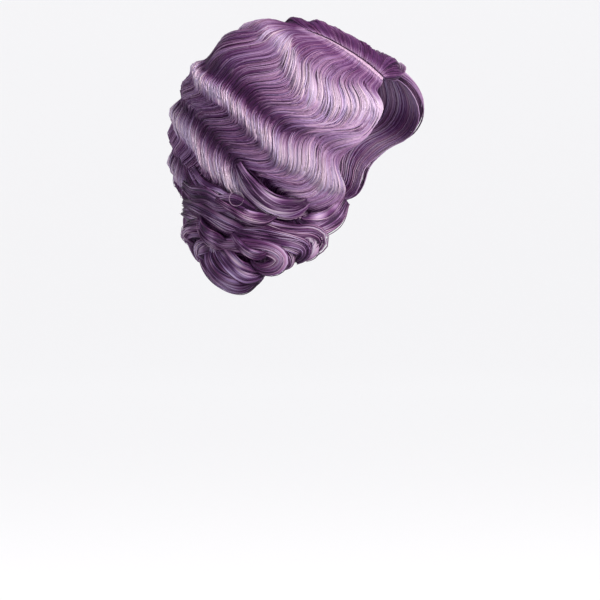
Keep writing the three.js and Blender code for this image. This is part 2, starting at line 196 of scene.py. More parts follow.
def eased(rows, key, column, x):
    """A column of a table at x, level at each row and evenly bent between them."""
    xs, ys = rows[key], rows[column]
    i = np.clip(np.searchsorted(xs, x, side="right") - 1, 0, len(xs) - 2)
    t = np.clip((x - xs[i]) / (xs[i + 1] - xs[i]), 0, 1)
    return mix(ys[i], ys[i + 1], np.where(t < 0.5, 2 * t * t, 1 - 2 * (1 - t) ** 2))


def unit(v):
    return v / np.linalg.norm(v, axis=-1, keepdims=True)


def direction(azimuth, elevation):
    a, e = np.radians(azimuth), np.radians(elevation)
    return np.stack([np.cos(e) * np.cos(a), np.cos(e) * np.sin(a), np.sin(e) + 0 * a], -1)


def cap_radius(d):
    return 1 / np.linalg.norm(d / HOLLOW, axis=-1) + CAP_WALL


def cap_edge(azimuth):
    return read(CAP_EDGE, "azimuth", "elevation", np.abs((azimuth + 180) % 360 - 180))


def hair_radius(d):
    """The hair's outer form before its waves."""
    angle = np.degrees(np.arctan2(d[..., 2], d[..., 0]))
    outline = read(HAIR_PROFILE, "angle", "radius", np.where(angle < -60, angle + 360, angle))
    half_width = HAIR_HALF_WIDTH - FRONT_NARROWING * np.maximum(d[..., 0], 0)
    return 1 / np.hypot(np.hypot(d[..., 0], d[..., 2]) / outline, d[..., 1] / half_width)


def through(first, half, last, t):
    """The way through three directions, at 0, a half and 1."""
    return unit(first * (1 - 3 * t + 2 * t * t) + half * (4 * t - 4 * t * t) + last * (2 * t * t - t))


def lengths(ways):
    """The length run from the start of each of the ways (n, m, 3) to each of its points."""
    steps = np.linalg.norm(np.diff(ways, axis=1), axis=-1)
    return np.concatenate([np.zeros((len(ways), 1)), np.cumsum(steps, 1)], 1)


def at_lengths(ways, run, s):
    """Points of the ways (n, m, 3), whose lengths run are known, at the lengths s (n, k)."""
    return np.stack([
        np.stack([np.interp(s[i], run[i], ways[i, :, k]) for k in range(3)], -1) for i in range(len(ways))
    ])


def parting_frame(along):
    """A point of the parting, the way back along it and the way to the left of it."""
    def place(share):
        d = through(*(direction(*s) for s in PARTING_STATIONS), share[..., None])
        return d * cap_radius(d)[..., None]

    step = 0.02
    point = place(along)
    back = unit(place(along + step) - place(along - step))
    return point, back, unit(np.cross(back, point))


def parting_half_width(along):
    return PARTING_HALF_WIDTH * mix(1, PARTING_NARROWING, along)


def wave_turns(s, row):
    """How many half waves a strand has made at length s, counted from its main ridge."""
    beyond = np.arange(1, HALF_WAVES_BEYOND + 1)
    turns = np.concatenate([-2.0 - beyond[::-1], np.arange(-2, 3), 2.0 + beyond])
    made = np.empty_like(s)
    for i in range(len(s)):
        named = [row[name][i] for name in ("swell", "trough", "ridge", "dip", "crest")]
        places = np.concatenate([
            named[0] - ROOT_HALF_WAVE * beyond[::-1], named, named[-1] + HALF_WAVE * beyond,
        ])
        made[i] = np.interp(s[i], places, turns)
    return made


def wave_height(turns):
    """Height from 0 in a trough to 1 on a crest, which comes a little before the forward turn."""
    return eased(RELIEF, "turn", "height", (turns + CREST_BEFORE_TURN) % 2)


def rounded(x, size):
    """Rises from 0 to 1 over a size, as a quarter round does."""
    return np.sqrt(1 - (1 - np.clip(x / size, 0, 1)) ** 2)


def between_locks(share, count):
    """0 on the middle of each lock in a row of count, and 1 where two of them meet."""
    return 1 - np.sqrt(np.abs(np.sin(np.pi * share * count)))[:, None]


def waved(u, t, over_parting=0.0, unrest=0.0):
    """Waved hair at u round the parting (n) and t down each strand (n, m).

    Gives the direction from the middle, the radii of the under side and the outer side, the wave's
    height, the half waves made, the length run from the root and the way across the strand.
    """
    row = {name: read(STRANDS, "at", name, u) for name in STRANDS}
    on_parting = np.clip(row["along"], 0, 1)
    point, back, left = parting_frame(on_parting)
    turn = np.radians(row["turn"])[:, None]
    offset = parting_half_width(on_parting) + SECTION_GAP - over_parting
    root = unit(point + (left * np.sin(turn) + back * np.cos(turn)) * offset[:, None])
    via, hem = direction(row["via_az"], row["via_el"]), direction(row["hem_az"], row["hem_el"])
    even = np.linspace(0, 1, STRAND_POINTS)
    way = through(root[:, None], via[:, None], hem[:, None], even[None, :, None])
    run = lengths(way * hair_radius(way)[..., None])
    length = run[:, -1:]
    s = t * length
    d = unit(at_lengths(way, run, s))
    across = unit(np.cross(np.gradient(d, axis=1), d))
    turns = wave_turns(s, row) + unrest
    beside = eased(SWING, "turn", "beside", turns)
    swell = mix(EDGE_SWELL, 1, smooth(u, 0, EDGE_SWELL_REACH))[:, None]
    beside = beside * np.where((turns < -1) & (beside < 0), swell, 1)
    sway = beside * mix(1, LEFT_SWING, smooth(u, *SWING_TURNS_LEFT))[:, None]
    sway = sway * smooth(s, 0, SWAY_RISE) * mix(1, HEM_SWAY, smooth(t, 0.8, 1))
    d = unit(d * hair_radius(d)[..., None] + across * sway[..., None])
    lift = row["lift"][:, None] * smooth(t, *LIFT_RISES) * (1 - smooth(t, *LIFT_FALLS))
    on_cap, full = cap_radius(d) + SEAM_GAP, hair_radius(d) + lift
    low = 1 - smooth(d[..., 2], *(math.sin(math.radians(e)) for e in OFF_CAP))
    under = np.maximum(mix(on_cap, full - HEM_THICKNESS, low), full - MOST_THICKNESS)
    risen = smooth(s, 0, mix(*ROOT_RISE, smooth(u, *RISE_TURNS_LEFT))[:, None])
    edge = mix(ROOT_THICKNESS, EDGE_THICKNESS, risen)
    height = wave_height(turns)
    groove = LOCK_GROOVE * between_locks(u, LOCK_COUNT) * smooth(s, *GROOVE_RISES)
    from_edge = rounded(np.minimum(u, 1 - u) * HEM_WIDTH, EDGE_ROUND)[:, None]
    full_share = from_edge * rounded(length - s, HEM_ROUND)
    stands = full + WAVE_RIDGE * (height - 0.5) * risen - groove - under - edge
    outer = under + edge + np.maximum(stands, 0) * risen * full_share
    return d, under, outer, height, turns, s, across


def smooth_way(stations, t):
    """Points of the smooth ways through stations (n, k, 3), at the shares t (n, m) of their lengths."""
    count = stations.shape[1]
    padded = np.concatenate(
        [2 * stations[:, :1] - stations[:, 1:2], stations, 2 * stations[:, -1:] - stations[:, -2:-1]], 1
    )
    fine = np.linspace(0, count - 1, STATION_POINTS * (count - 1) + 1)
    i = np.minimum(fine.astype(int), count - 2)
    f = (fine - i)[None, :, None]
    a, b, c, d = (padded[:, i + k] for k in range(4))
    way = 0.5 * (2 * b + (c - a) * f + (2 * a - 5 * b + 4 * c - d) * f**2 + (3 * b - a - 3 * c + d) * f**3)
    run = lengths(way)
    return at_lengths(way, run, t * run[:, -1:])


def curtain(v, t):
    """The curtain of curls at v from its right end round the nape to its left one.

    Gives points at the shares t (n, m) of the length, with the ways outwards and across.
    """
    at = 1 - np.abs(1 - 2 * v)
    row = {name: read(CURLS, "at", name, at) for name in CURLS}
    hand = np.where(v < 0.5, -1.0, 1.0)
    d = direction(row["root"] * hand, cap_edge(row["root"]) + CURL_ABOVE_EDGE)
    stations = [d * (cap_radius(d) + SEAM_GAP + CURL_ROOT_DEPTH)[:, None]]
    for k in "123":
        a = np.radians(row["az" + k])
        r = row["r" + k]
        stations.append(np.stack([r * np.cos(a), r * np.sin(a) * hand, -row["low" + k]], -1))
    way = smooth_way(np.stack(stations, 1), t)
    along = unit(np.gradient(way, axis=1))
    across = unit(np.cross(along, way * [1, 1, CURL_LEAN]))
    return way, np.cross(across, along), across


# Meshes

WELD = 0.02  # points closer than this are one
TINY = 1e-6
TONE_SPREAD = 0.22
STREAK_SPREAD = 0.09
MAP_SPAN = 0.98  # of the UV map, which the tones and shades take up
MAP_STEP = 0.01  # gives each face a little area of its own in the map


def linked(name, data):
    made = bpy.data.objects.new(name, data)
    bpy.context.collection.objects.link(made)
    return made


def shaded(name, mesh, finish):
    """A smooth mesh in one material as an object."""
    mesh.materials.append(finish)
    mesh.polygons.foreach_set("use_smooth", [True] * len(mesh.polygons))
    return linked(name, mesh)


def piece(name, mesh, finish, nodes=()):
    """A piece of the wig, in the place of the CAD nodes that it stands for."""
    made = shaded(name, mesh, finish)
    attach(made, "root")
    if nodes:
        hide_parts(*nodes)


def place_all(bm, points):
    """Moves a bmesh's vertices to points given in millimetres from the middle."""
    for vertex, point in zip(bm.verts, (points + MIDDLE) * MM):
        vertex.co = point


def grid(across, along):
    """A flat grid, with each vertex's shares across and along it."""
    bm = bmesh.new()
    bmesh.ops.create_grid(bm, x_segments=across, y_segments=along, size=0.5)
    shares = np.array([v.co for v in bm.verts]) + 0.5
    return bm, shares[:, 0], shares[:, 1]


def as_mesh(bm, name):
    mesh = bpy.data.meshes.new(name)
    bm.to_mesh(mesh)
    bm.free()
    return mesh


def finished(bm, name, thickness=0):
    """Closes a shape's seams, turns its faces outwards, gives it any thickness and makes it a mesh."""
    bmesh.ops.remove_doubles(bm, verts=bm.verts, dist=WELD * MM)
    bmesh.ops.recalc_face_normals(bm, faces=bm.faces)
    if thickness:
        bmesh.ops.solidify(bm, geom=bm.faces[:], thickness=thickness * MM)
    return as_mesh(bm, name)


def streaks(bm, lanes, shade, rng):
    """Gives each column of a grid's faces a tone of its own, and each of its corners a shade."""
    layer = bm.loops.layers.uv.new("OFBake")
    bm.verts.index_update()
    tone = np.clip(0.5 + TONE_SPREAD * rng.normal(size=lanes.max()), 0, 1)
    streak = STREAK_SPREAD * rng.normal(size=lanes.max())
    for face in bm.faces:
        column = min(lanes[v.index] for v in face.verts)
        for loop in face.loops:
            i = loop.vert.index
            light = min(max(shade[i] + streak[column], 0), 1)
            loop[layer].uv = (tone[column] * MAP_SPAN + MAP_STEP * (lanes[i] - column), light)


def folded_wall(rng, name, columns, rows, outer_share, shape, fibre):
    """The base of a section: a grid folded into a closed wall, down its outer side and up its inner one.

    shape works out points and shades, in a row for each column, from the share down the wall and
    whether it is the outer side.
    """
    bm, across, along = grid(columns, rows)
    lanes = np.rint(across * columns).astype(int)
    order = np.argsort(lanes, kind="stable").reshape(columns + 1, -1)
    outer = along < outer_share
    t = np.where(outer, along / outer_share, (1 - along) / (1 - outer_share))
    points, shade = np.empty((len(lanes), 3)), np.empty(len(lanes))
    points[order], shade[order] = shape(t[order], outer[order])
    place_all(bm, points)
    streaks(bm, lanes, shade, rng)
    piece(name + "_base", finished(bm, name), fibre, [name])


def wall_edges(t):
    """Where the two sides of a folded wall meet: its first and last columns, its root and its end."""
    meet = (t < TINY) | (t > 1 - TINY)
    meet[0] = meet[-1] = True
    return meet


def tubes(name, ways, outwards, width, depth, tone, shade):
    """Tubes along ways (n, m, 3) as one mesh, closed at both ends.

    width and depth (n, m) are a tube's sizes across and outwards. tone (n, k) and shade (n, m, k) give
    each of its k sides its own colour: the UV map holds the tone and how far it stands in the light.
    The tubes are made from arrays, since there are far too many for operators to shape in good time.
    """
    n, m = ways.shape[:2]
    sides = tone.shape[1]
    along = unit(np.gradient(ways, axis=1))
    across = unit(np.cross(along, outwards))
    out = np.cross(across, along)
    turn = np.pi / 2 + 2 * np.pi * np.arange(sides) / sides
    rings = (
        ways[:, :, None] + (across * width[..., None])[:, :, None] * np.cos(turn)[:, None] / 2
        + (out * depth[..., None])[:, :, None] * np.sin(turn)[:, None] / 2
    )
    index = np.arange(n * m * sides).reshape(n, m, sides)
    turned = np.roll(index, -1, axis=2)
    walls = np.stack([index[:, :-1], index[:, 1:], turned[:, 1:], turned[:, :-1]], -1).reshape(-1, 4)
    ends = np.concatenate([index[:, 0, :], index[:, -1, ::-1]])
    starts = np.concatenate([np.arange(len(walls)) * 4, len(walls) * 4 + np.arange(len(ends)) * sides])
    corner_of_loop = np.concatenate([walls.ravel(), ends.ravel()])
    mesh = bpy.data.meshes.new(name)
    mesh.vertices.add(n * m * sides)
    mesh.vertices.foreach_set("co", ((rings + MIDDLE) * MM).astype(np.float32).ravel())
    mesh.loops.add(len(corner_of_loop))
    mesh.loops.foreach_set("vertex_index", corner_of_loop.astype(np.int32))
    mesh.polygons.add(len(starts))
    mesh.polygons.foreach_set("loop_start", starts.astype(np.int32))
    mesh.update(calc_edges=True)
    tone = np.broadcast_to(np.clip(tone, 0, 1)[:, None, :], (n, m, sides)) * MAP_SPAN
    shade = np.broadcast_to(np.clip(shade, 0, 1), (n, m, sides)) * MAP_SPAN
    shade = shade + MAP_STEP * (np.arange(m) % 2)[:, None]
    beside = tone + MAP_STEP
    u = np.concatenate([
        np.stack([tone[:, :-1], tone[:, :-1], beside[:, :-1], beside[:, :-1]], -1).ravel(),
        tone[:, 0].ravel(), tone[:, -1].ravel(),
    ])
    v = np.concatenate([
        np.stack([shade[:, :-1], shade[:, 1:], shade[:, 1:], shade[:, :-1]], -1).ravel(),
        shade[:, 0].ravel(), shade[:, -1].ravel(),
    ])
    uv = np.stack([u, v], -1)
    mesh.uv_layers.new(name="OFBake").data.foreach_set("uv", uv.astype(np.float32).ravel())
    return mesh


def fibres(name, ways, outwards, thickness, tone, shade):
    """Many fibres as one mesh of three-sided tubes."""
    three = np.repeat(tone[:, None], 3, 1)
    return tubes(name, ways, outwards, thickness, thickness, three, shade[..., None])


def tapered(rng, t, least, most, tip=0.35, start=0.8):
    """Thickness of fibres at the shares t (n, m), each of a size of its own and thin at its tip."""
    return mix(least, most, rng.random(len(t)))[:, None] * mix(1, tip, smooth(t, start, 1))


# Materials

TONE_OVER_SHADE = 0.6  # how far a fibre's own tone shows
NET_MESH = 1.6  # width of one mesh of the net
NET_RELIEF = 0.4
KNOT_SPACING = 1.2
KNOT_RELIEF = 0.3


def linear(hex_colour):
    """An sRGB hex colour as linear red, green, blue and alpha."""
    parts = [int(hex_colour[i:i + 2], 16) / 255 for i in (1, 3, 5)]
    return [c / 12.92 if c <= 0.04045 else ((c + 0.055) / 1.055) ** 2.4 for c in parts] + [1.0]


def add(tree, kind, links=None, values=None, stops=None, **settings):
    """Adds a node with its settings, input values, ramp stops and links."""
    made = tree.nodes.new(kind)
    for key, value in settings.items():
        setattr(made, key, value)
    for socket, value in (values or {}).items():
        made.inputs[socket].default_value = value
    for socket, output in (links or {}).items():
        tree.links.new(output, made.inputs[socket])
    if stops:
        ramp = made.color_ramp.elements
        while len(ramp) < len(stops):
            ramp.new(0.5)
        for element, (position, colour) in zip(ramp, stops):
            element.position = position
            element.color = linear(colour)
    return made


def material(name):
    made = bpy.data.materials.new(name)
    made.use_nodes = True
    made.node_tree.nodes.clear()
    return made, made.node_tree


def surface(tree, links, values):
    """Ends a material in one principled surface."""
    shader = add(tree, "ShaderNodeBsdfPrincipled", links, values)
    add(tree, "ShaderNodeOutputMaterial", {"Surface": shader.outputs[0]})


def synthetic_fibre():
    """Heat-set synthetic fibre in near tones: softly glossy, a fine streak to each fibre, painted light and
    shade.
    """
    made, tree = material("heat_set_synthetic_fibre")
    uv = add(tree, "ShaderNodeUVMap", uv_map="OFBake")
    parts = add(tree, "ShaderNodeSeparateXYZ", {"Vector": uv.outputs[0]})
    # The map's second coordinate is painted light and shade: this ramp paints it from deep shade to pale
    # highlight
    depth = add(tree, "ShaderNodeValToRGB", {"Fac": parts.outputs["Y"]}, stops=(
        (0.0, "#2b0d31"), (0.25, "#522b56"), (0.5, "#8d7592"), (0.75, "#b2a7b5"), (1.0, "#c6c0c8"),
    ))
    tone = add(tree, "ShaderNodeValToRGB", {"Fac": parts.outputs["X"]}, stops=(
        (0.0, "#9a86a4"), (0.2, "#b5a6b4"), (0.4, "#a99bc6"), (0.6, "#bdacb8"),
        (0.8, "#cbb2bd"), (1.0, "#d6cbd9"),
    ))
    colour = add(
        tree, "ShaderNodeMix", {"A": depth.outputs[0], "B": tone.outputs[0]},
        {"Factor": TONE_OVER_SHADE}, data_type="RGBA", blend_type="OVERLAY",
    )
    surface(tree, {"Base Color": colour.outputs["Result"]}, {"Roughness": 0.45, "Specular IOR Level": 0.25})
    return made


def stretch_net():
    """Knitted stretch net of a wig cap: matt, with lighter thread round its dark open meshes."""
    made, tree = material("knitted_stretch_net")
    place = add(tree, "ShaderNodeTexCoord")
    mesh = add(
        tree, "ShaderNodeTexVoronoi", {"Vector": place.outputs["Object"]},
        {"Scale": 1 / (NET_MESH * MM), "Randomness": 0.75}, feature="DISTANCE_TO_EDGE",
    )
    colour = add(tree, "ShaderNodeValToRGB", {"Fac": mesh.outputs["Distance"]}, stops=(
        (0.05, "#5d4668"), (0.2, "#33223c"),
    ))
    bump = add(
        tree, "ShaderNodeBump", {"Height": mesh.outputs["Distance"]},
        {"Strength": 0.5, "Distance": NET_RELIEF * MM}, invert=True,
    )
    surface(tree, {"Base Color": colour.outputs[0], "Normal": bump.outputs[0]}, {"Roughness": 0.85})
    return made


def woven_parting():
    """Fine woven monofilament of a parting: pale and satin, with a faint grain of knots."""
    made, tree = material("woven_monofilament")
    place = add(tree, "ShaderNodeTexCoord")
    knots = add(
        tree, "ShaderNodeTexNoise", {"Vector": place.outputs["Object"]},
        {"Scale": 1 / (KNOT_SPACING * MM), "Detail": 2},
    )
    colour = add(tree, "ShaderNodeValToRGB", {"Fac": knots.outputs["Fac"]}, stops=(
        (0.35, "#8f7090"), (0.6, "#b499b3"),
    ))
    bump = add(
        tree, "ShaderNodeBump", {"Height": knots.outputs["Fac"]},
        {"Strength": 0.4, "Distance": KNOT_RELIEF * MM},
    )
    surface(tree, {"Base Color": colour.outputs[0], "Normal": bump.outputs[0]}, {"Roughness": 0.55})
    return made


def matt_paper():
    """Pale background paper: matt, and lit enough of itself to stay nearly white."""
    made, tree = material("matt_paper")
    surface(tree, {}, {
        "Roughness": 0.9, "Base Color": linear("#909093"),
        "Emission Color": linear("#f0f0f1"), "Emission Strength": 0.78,
    })
    return made


# Waved hair

WAVE_BASE_COLUMNS = 14  # to each lock
WAVE_BASE_ROWS = 64
WAVE_BASE_OUTER = 0.62  # share of the rows on the outer side
WAVE_BASE_SINK = 1.1  # below the outermost fibres
WAVE_BASE_LEAST = 0.6  # thickness
FRONT_EDGE = 0.007  # how far the base stops short of the fibres along the front edges
WAVE_FIBRES = 1800
WAVE_STEPS = 46
WAVE_CLUMPS = 300
EDGE_CROWDING = 0.011  # how far fibres are drawn towards the front edges
OVER_PARTING = 1.5  # the most that a root reaches over the parting
OUTER_FIBRES = 0.76  # share of the fibres that lie at the top of the hair
BURIED_FIBRES = 0.06  # and at the bottom of it
STRAY_FIBRES = 0.02
STRAY_STAND = 2.5
HEM_TUCK = 7.0  # how far the ends turn in
HEM_SWEEP = 20.0  # and how far they are swept to the front on the right
UNDER_FIBRES = 350
UNDER_STEPS = 28
UNDER_ON_RIGHT = 0.35  # share of them
LIT_BEFORE_TURN = 0.45  # of half a wave


def wave_shade(u, t, s, height, turns, forward):
    """How far the waved hair stands in painted light: a sheen on the roots, a dark zone, then lit crests.

    The hair is painted darker towards the back, with deeper painted shade between its crests.
    """
    lit = 0.5 + 0.5 * np.cos(np.pi * (turns + LIT_BEFORE_TURN))
    left = smooth(u, *SHADE_TURNS_LEFT)[:, None]
    wave = 0.5 * height + 0.38 * lit
    # Painted shade: the back is painted darker than the front, whose painted light is more even
    at_back, at_front = wave - 0.1, 0.26 + 0.54 * wave
    crests = mix(at_back, at_front, smooth(forward, -0.6, 0.3))
    # Painted shade on the roots below the parting
    painted_root_shade = mix(0.2, 0.06, left)
    crests = mix(painted_root_shade, crests, smooth(s, 8, mix(45, 80, left)))
    # A painted sheen on the roots by the parting, and painted shade towards the hem
    painted_root_sheen, painted_hem_shade = 0.24 * (1 - smooth(s, 2, 11)), 0.2 * smooth(t, 0.7, 1)
    return crests + painted_root_sheen - painted_hem_shade


def wave_base(rng, name, first, last, fibre):
    """The closed wall of one section under its loose fibres, sunk a little into them."""
    columns = (last - first) * WAVE_BASE_COLUMNS
    u = np.clip(np.linspace(first, last, columns + 1) / LOCK_COUNT, FRONT_EDGE, 1 - FRONT_EDGE)

    def shape(t, upper):
        turning = upper[0].sum()
        outside, inside = waved(u, t[:, :turning]), waved(u, t[:, :turning - 1:-1])
        d, under, outer, height, turns, s, _ = (
            np.concatenate([a, b[:, ::-1]], 1) for a, b in zip(outside, inside)
        )
        top = np.maximum(outer - WAVE_BASE_SINK, under + WAVE_BASE_LEAST)
        radius = np.where(wall_edges(t), (under + top) / 2, np.where(upper, top, under))
        # Painted shade: the base a little darker than its fibres, its inner side darker still but lighter
        # under crests
        outer_shade = wave_shade(u, t, s, height, turns, d[..., 0]) - 0.05
        return d * radius[..., None], np.where(upper, outer_shade, 0.15 + 0.2 * height)

    folded_wall(rng, name, columns, WAVE_BASE_ROWS, WAVE_BASE_OUTER, shape, fibre)


def wave_fibres(rng, fibre):
    """Loose fibres of the whole waved hair, gathered in fine clumps, as one piece for each section."""
    n = WAVE_FIBRES
    # Roots round the parting, and the clump that each belongs to
    even = (np.arange(n) + rng.random(n)) / n
    u = even - EDGE_CROWDING * np.sin(2 * np.pi * even) * smooth(np.abs(2 * even - 1), 0.6, 1)
    ends = 1 - 0.05 * rng.random(n) ** 2
    t = np.linspace(0, 1, WAVE_STEPS + 1)[None] * ends[:, None]
    to_end = t / ends[:, None]
    clump = np.minimum((u * WAVE_CLUMPS).astype(int), WAVE_CLUMPS - 1)
    u_clump = (clump + 0.5) / WAVE_CLUMPS
    # Waves that run a little early or late, and fibres that draw together in their clumps
    unrest_of = 0.06 * np.sin(2 * np.pi * 8 * u + 1) + 0.03 * np.sin(2 * np.pi * 21 * u + 2)
    unrest = (unrest_of + 0.03 * rng.normal(size=WAVE_CLUMPS)[clump])[:, None]
    over_parting = OVER_PARTING * rng.random(n) ** 2
    d, under, outer, height, turns, s, across = waved(u, t, over_parting, unrest)
    d_clump = waved(u_clump, t, over_parting, unrest)[0]
    gather = (0.1 + 0.4 * rng.random(WAVE_CLUMPS))[clump][:, None] * smooth(s, 12, 70)
    d = unit(mix(d, d_clump, gather[..., None]))
    # Layers: most fibres at the top, some between and a few at the bottom, with a few strays
    deep = rng.random(n)
    at_top, between = 1 - 0.07 * rng.random(n), rng.random(n)
    layer = np.where(deep < OUTER_FIBRES, at_top, np.where(deep < 1 - BURIED_FIBRES, between, 0.03))
    inside = 2 * (u - u_clump) * WAVE_CLUMPS
    crest = (0.25 - 0.35 * inside**2 + 0.2 * rng.normal(size=WAVE_CLUMPS)[clump])[:, None]
    crest = crest * smooth(s, 8, 50) * smooth(outer - under, 1.5, 6) * (layer > 0.5)[:, None]
    radius = mix(under, outer, layer[:, None]) + crest
    stray = np.where(rng.random(n) < STRAY_FIBRES, STRAY_STAND * rng.random(n), 0)[:, None]
    radius = np.maximum(radius + stray * smooth(t, 0.2, 0.7), under + 0.5)
    radius = radius - HEM_TUCK * smooth(to_end, 0.94, 1) ** 2
    # Small wanderings, and the ends swept to the front on the right
    wander = 0.35 * np.sin(s / (12 + 10 * rng.random(n))[:, None] + 6.3 * rng.random(n)[:, None])
    rolled = (smooth(u, 0.04, 0.1) - smooth(u, 0.3, 0.45))[:, None]
    swept = HEM_SWEEP * smooth(to_end, 0.76, 1) ** 2 * rolled
    ways = d * radius[..., None] + across * (wander * smooth(s, 10, 50) - swept)[..., None]
    thickness = tapered(rng, t, 0.75, 1.0) * mix(0.6, 1, smooth(s, 0, 15))
    # Tones and painted shade, deeper fibres darker, with a painted highlight on the roll above the swept
    # ends
    tone = 0.5 + 0.14 * rng.normal(size=WAVE_CLUMPS)[clump] + 0.18 * rng.normal(size=n)
    shade = wave_shade(u, t, s, height, turns, d[..., 0]) + 0.3 * (layer - 0.75)[:, None]
    shade = shade + 0.15 * rolled * np.exp(-(((to_end - 0.86) / 0.05) ** 2))
    shade = shade + (0.07 * rng.normal(size=n) + 0.05 * rng.normal(size=WAVE_CLUMPS)[clump])[:, None]
    for name, first, last in HAIR_SECTIONS:
        mine = (u * LOCK_COUNT >= first) & (u * LOCK_COUNT < last)
        mesh = fibres(name, ways[mine], d[mine], thickness[mine], tone[mine], shade[mine])
        piece(name + "_fibres", mesh, fibre)


def under_fibres(rng, fibre):
    """Fibres on the inner side of the hair that stands clear of the cap along the front edges."""
    n = UNDER_FIBRES
    share = rng.random(n)
    u = np.where(np.arange(n) < UNDER_ON_RIGHT * n, 0.3 * share**1.4, 1 - 0.4 * share**1.4)
    t = mix(0.02, 1, np.linspace(0, 1, UNDER_STEPS + 1))[None] * (1 - 0.04 * rng.random(n))[:, None]
    d, under, _, height, _, s, _ = waved(u, t)
    ways = d * (under - 0.2 - 0.5 * rng.random(n)[:, None])[..., None]
    thickness = tapered(rng, t, 0.8, 1.2, tip=0.4, start=0.85)
    tone = 0.5 + TONE_SPREAD * rng.normal(size=n)
    shade = mix(0.2, 0.28 + 0.32 * height, smooth(s, 15, 60)) + 0.08 * rng.normal(size=n)[:, None]
    mesh = fibres("under_layer", ways, -d, thickness, tone, shade)
    piece("under_layer_fibres", mesh, fibre)


# Curls under the waves

# Locks that show on one side: width, thickness, and stations forward of, beside and below the middle
SIDE_LOCKS = {
    "back_tip": (12, 7, ((-62, 68, 66), (-80, 56, 63), (-96, 38, 59), (-108, 20, 57))),
    "back_hook": (12, 8, (
        (-70, 68, 70), (-86, 55, 71), (-97, 42, 73), (-101, 35, 78), (-96, 38, 84), (-90, 45, 87))),
    "low_back_hook": (12, 8, (
        (-66, 70, 82), (-80, 58, 85), (-88, 49, 90), (-86, 47, 98), (-79, 50, 104))),
    "outer_bowl": (15, 8, (
        (-82, 44, 86), (-85, 48, 96), (-80, 52, 106), (-71, 56, 115), (-59, 60, 121), (-46, 64, 121),
        (-34, 66, 115), (-29, 66, 108))),
    "inner_bowl": (14, 8, (
        (-78, 56, 84), (-78, 60, 97), (-72, 64, 108), (-60, 68, 117), (-47, 70, 119), (-36, 70, 114))),
    "side_crescent": (16, 9, (
        (-72, 64, 78), (-70, 69, 89), (-61, 75, 101), (-50, 79, 110), (-38, 79, 113), (-31, 76, 110))),
    "back_crescent": (13, 8, (
        (-86, 54, 60), (-86, 58, 70), (-78, 66, 79), (-67, 74, 84), (-56, 79, 85))),
    "round_curl": (13, 9, (
        (-76, 66, 78), (-67, 74, 85), (-50, 82, 86), (-34, 86, 87), (-21, 87, 91), (-15, 85, 98),
        (-20, 82, 105), (-30, 81, 107), (-39, 82, 103), (-41, 84, 97), (-34, 86, 94))),
    "inner_front_hook": (15, 7, (
        (-56, 80, 74), (-38, 84, 78), (-20, 87, 82), (-5, 86, 85), (4, 83, 89), (3, 79, 96),
        (-6, 76, 102))),
    "front_fan": (17, 6, (
        (-34, 84, 76), (-16, 85, 79), (0, 84, 81), (9, 81, 85), (9, 78, 91), (1, 75, 98), (-8, 73, 103))),
    "outer_front_hook": (15, 8, (
        (-56, 80, 65), (-32, 85, 70), (-18, 86, 74), (-2, 85, 77), (11, 82, 77), (18, 79, 81),
        (14, 76, 88), (6, 74, 94), (-4, 72, 100))),
    "back_sweep": (12, 7, (
        (-103, 32, 50), (-92, 50, 54), (-78, 66, 61), (-64, 77, 69), (-50, 82, 74), (-36, 84, 76))),
    "side_sweep": (15, 7, (
        (-92, 52, 44), (-78, 66, 52), (-64, 77, 57), (-48, 83, 63), (-32, 86, 68), (-16, 86, 72))),
    "hem_wave": (13, 6, (
        (-104, 36, 34), (-95, 52, 42), (-82, 66, 44), (-70, 76, 50), (-58, 84, 49), (-44, 88, 54),
        (-30, 88, 62))),
    "side_hook": (9, 7, ((-72, 76, 44), (-58, 84, 52), (-44, 88, 60), (-28, 89, 62), (-16, 88, 57))),
    "small_crescent": (8, 7, ((-58, 80, 76), (-52, 84, 84), (-42, 86, 92), (-32, 88, 94), (-24, 88, 90))),
    "low_tip": (11, 6, (
        (-40, 84, 82), (-24, 86, 88), (-12, 84, 93), (-9, 80, 100), (-15, 77, 106), (-22, 76, 108))),
}
# Locks that hang from the front edge and roll out of the waves' lower edge on the right only
RIGHT_LOCKS = {
    "front_end": (19, 6, (
        (42, 64, 46), (36, 69, 56), (26, 74, 64), (14, 79, 68), (4, 82, 66), (-4, 84, 58))),
    "front_under": (15, 5, ((32, 64, 40), (22, 69, 52), (10, 73, 60), (-4, 76, 64), (-20, 78, 66))),
    "side_roll": (18, 7, (
        (-54, 81, 14), (-46, 84, 29), (-35, 87, 42), (-21, 88, 51), (-6, 88, 53), (6, 86, 49),
        (13, 83, 41))),
    "back_roll": (15, 7, (
        (-102, 38, 8), (-97, 48, 22), (-88, 57, 35), (-76, 66, 43), (-63, 75, 46), (-52, 81, 43))),
}
SIDES = {"curls_right": -1, "curls_left": 1}
LOCK_STRANDS = 3  # side by side in each lock
STRAND_FIBRES = 7
STRAND_LEAN = 0.25  # how much of the drop counts in the way outwards
LOCK_STEPS = 28
LOCK_SIDES = 12  # streaks round the core of a strand
NAPE_LOCKS = 7
NAPE_LOCK_SIZE = (15, 8)
NAPE_REACH = (4.0, 10.0)  # from the first to the last lock of the curtain
NAPE_ROWS = (  # where a row of locks on the nape starts and ends down the curtain
    (0.1, 0.66),
    (0.3, 0.97),
)
NAPE_SWING = np.array([0, 4, -5, -6, 4, 9])  # to the side, at even shares of a lock
NAPE_STAND = np.array([1, 3, 5, 6, 5, 2])  # off the curtain
UPPER_ROW_STAND = 1.5
CURL_BASE_COLUMNS = 12  # to each lock
CURL_BASE_ROWS = 50
CURL_BASE_OUTER = 0.6  # share of the rows on the outer side
CURL_BASE_LENGTH = 0.95  # of the fibres over it
CURL_BASE_DEPTH = 0.7
CURTAIN_FIBRES = 560
CURTAIN_STEPS = 20
CURTAIN_CLUMPS = 40
CURTAIN_SWING = 4.5
LOOP = {"forward": -54.6, "below": 44.6, "beside": 88, "radius": 6.4, "thickness": 0.4}


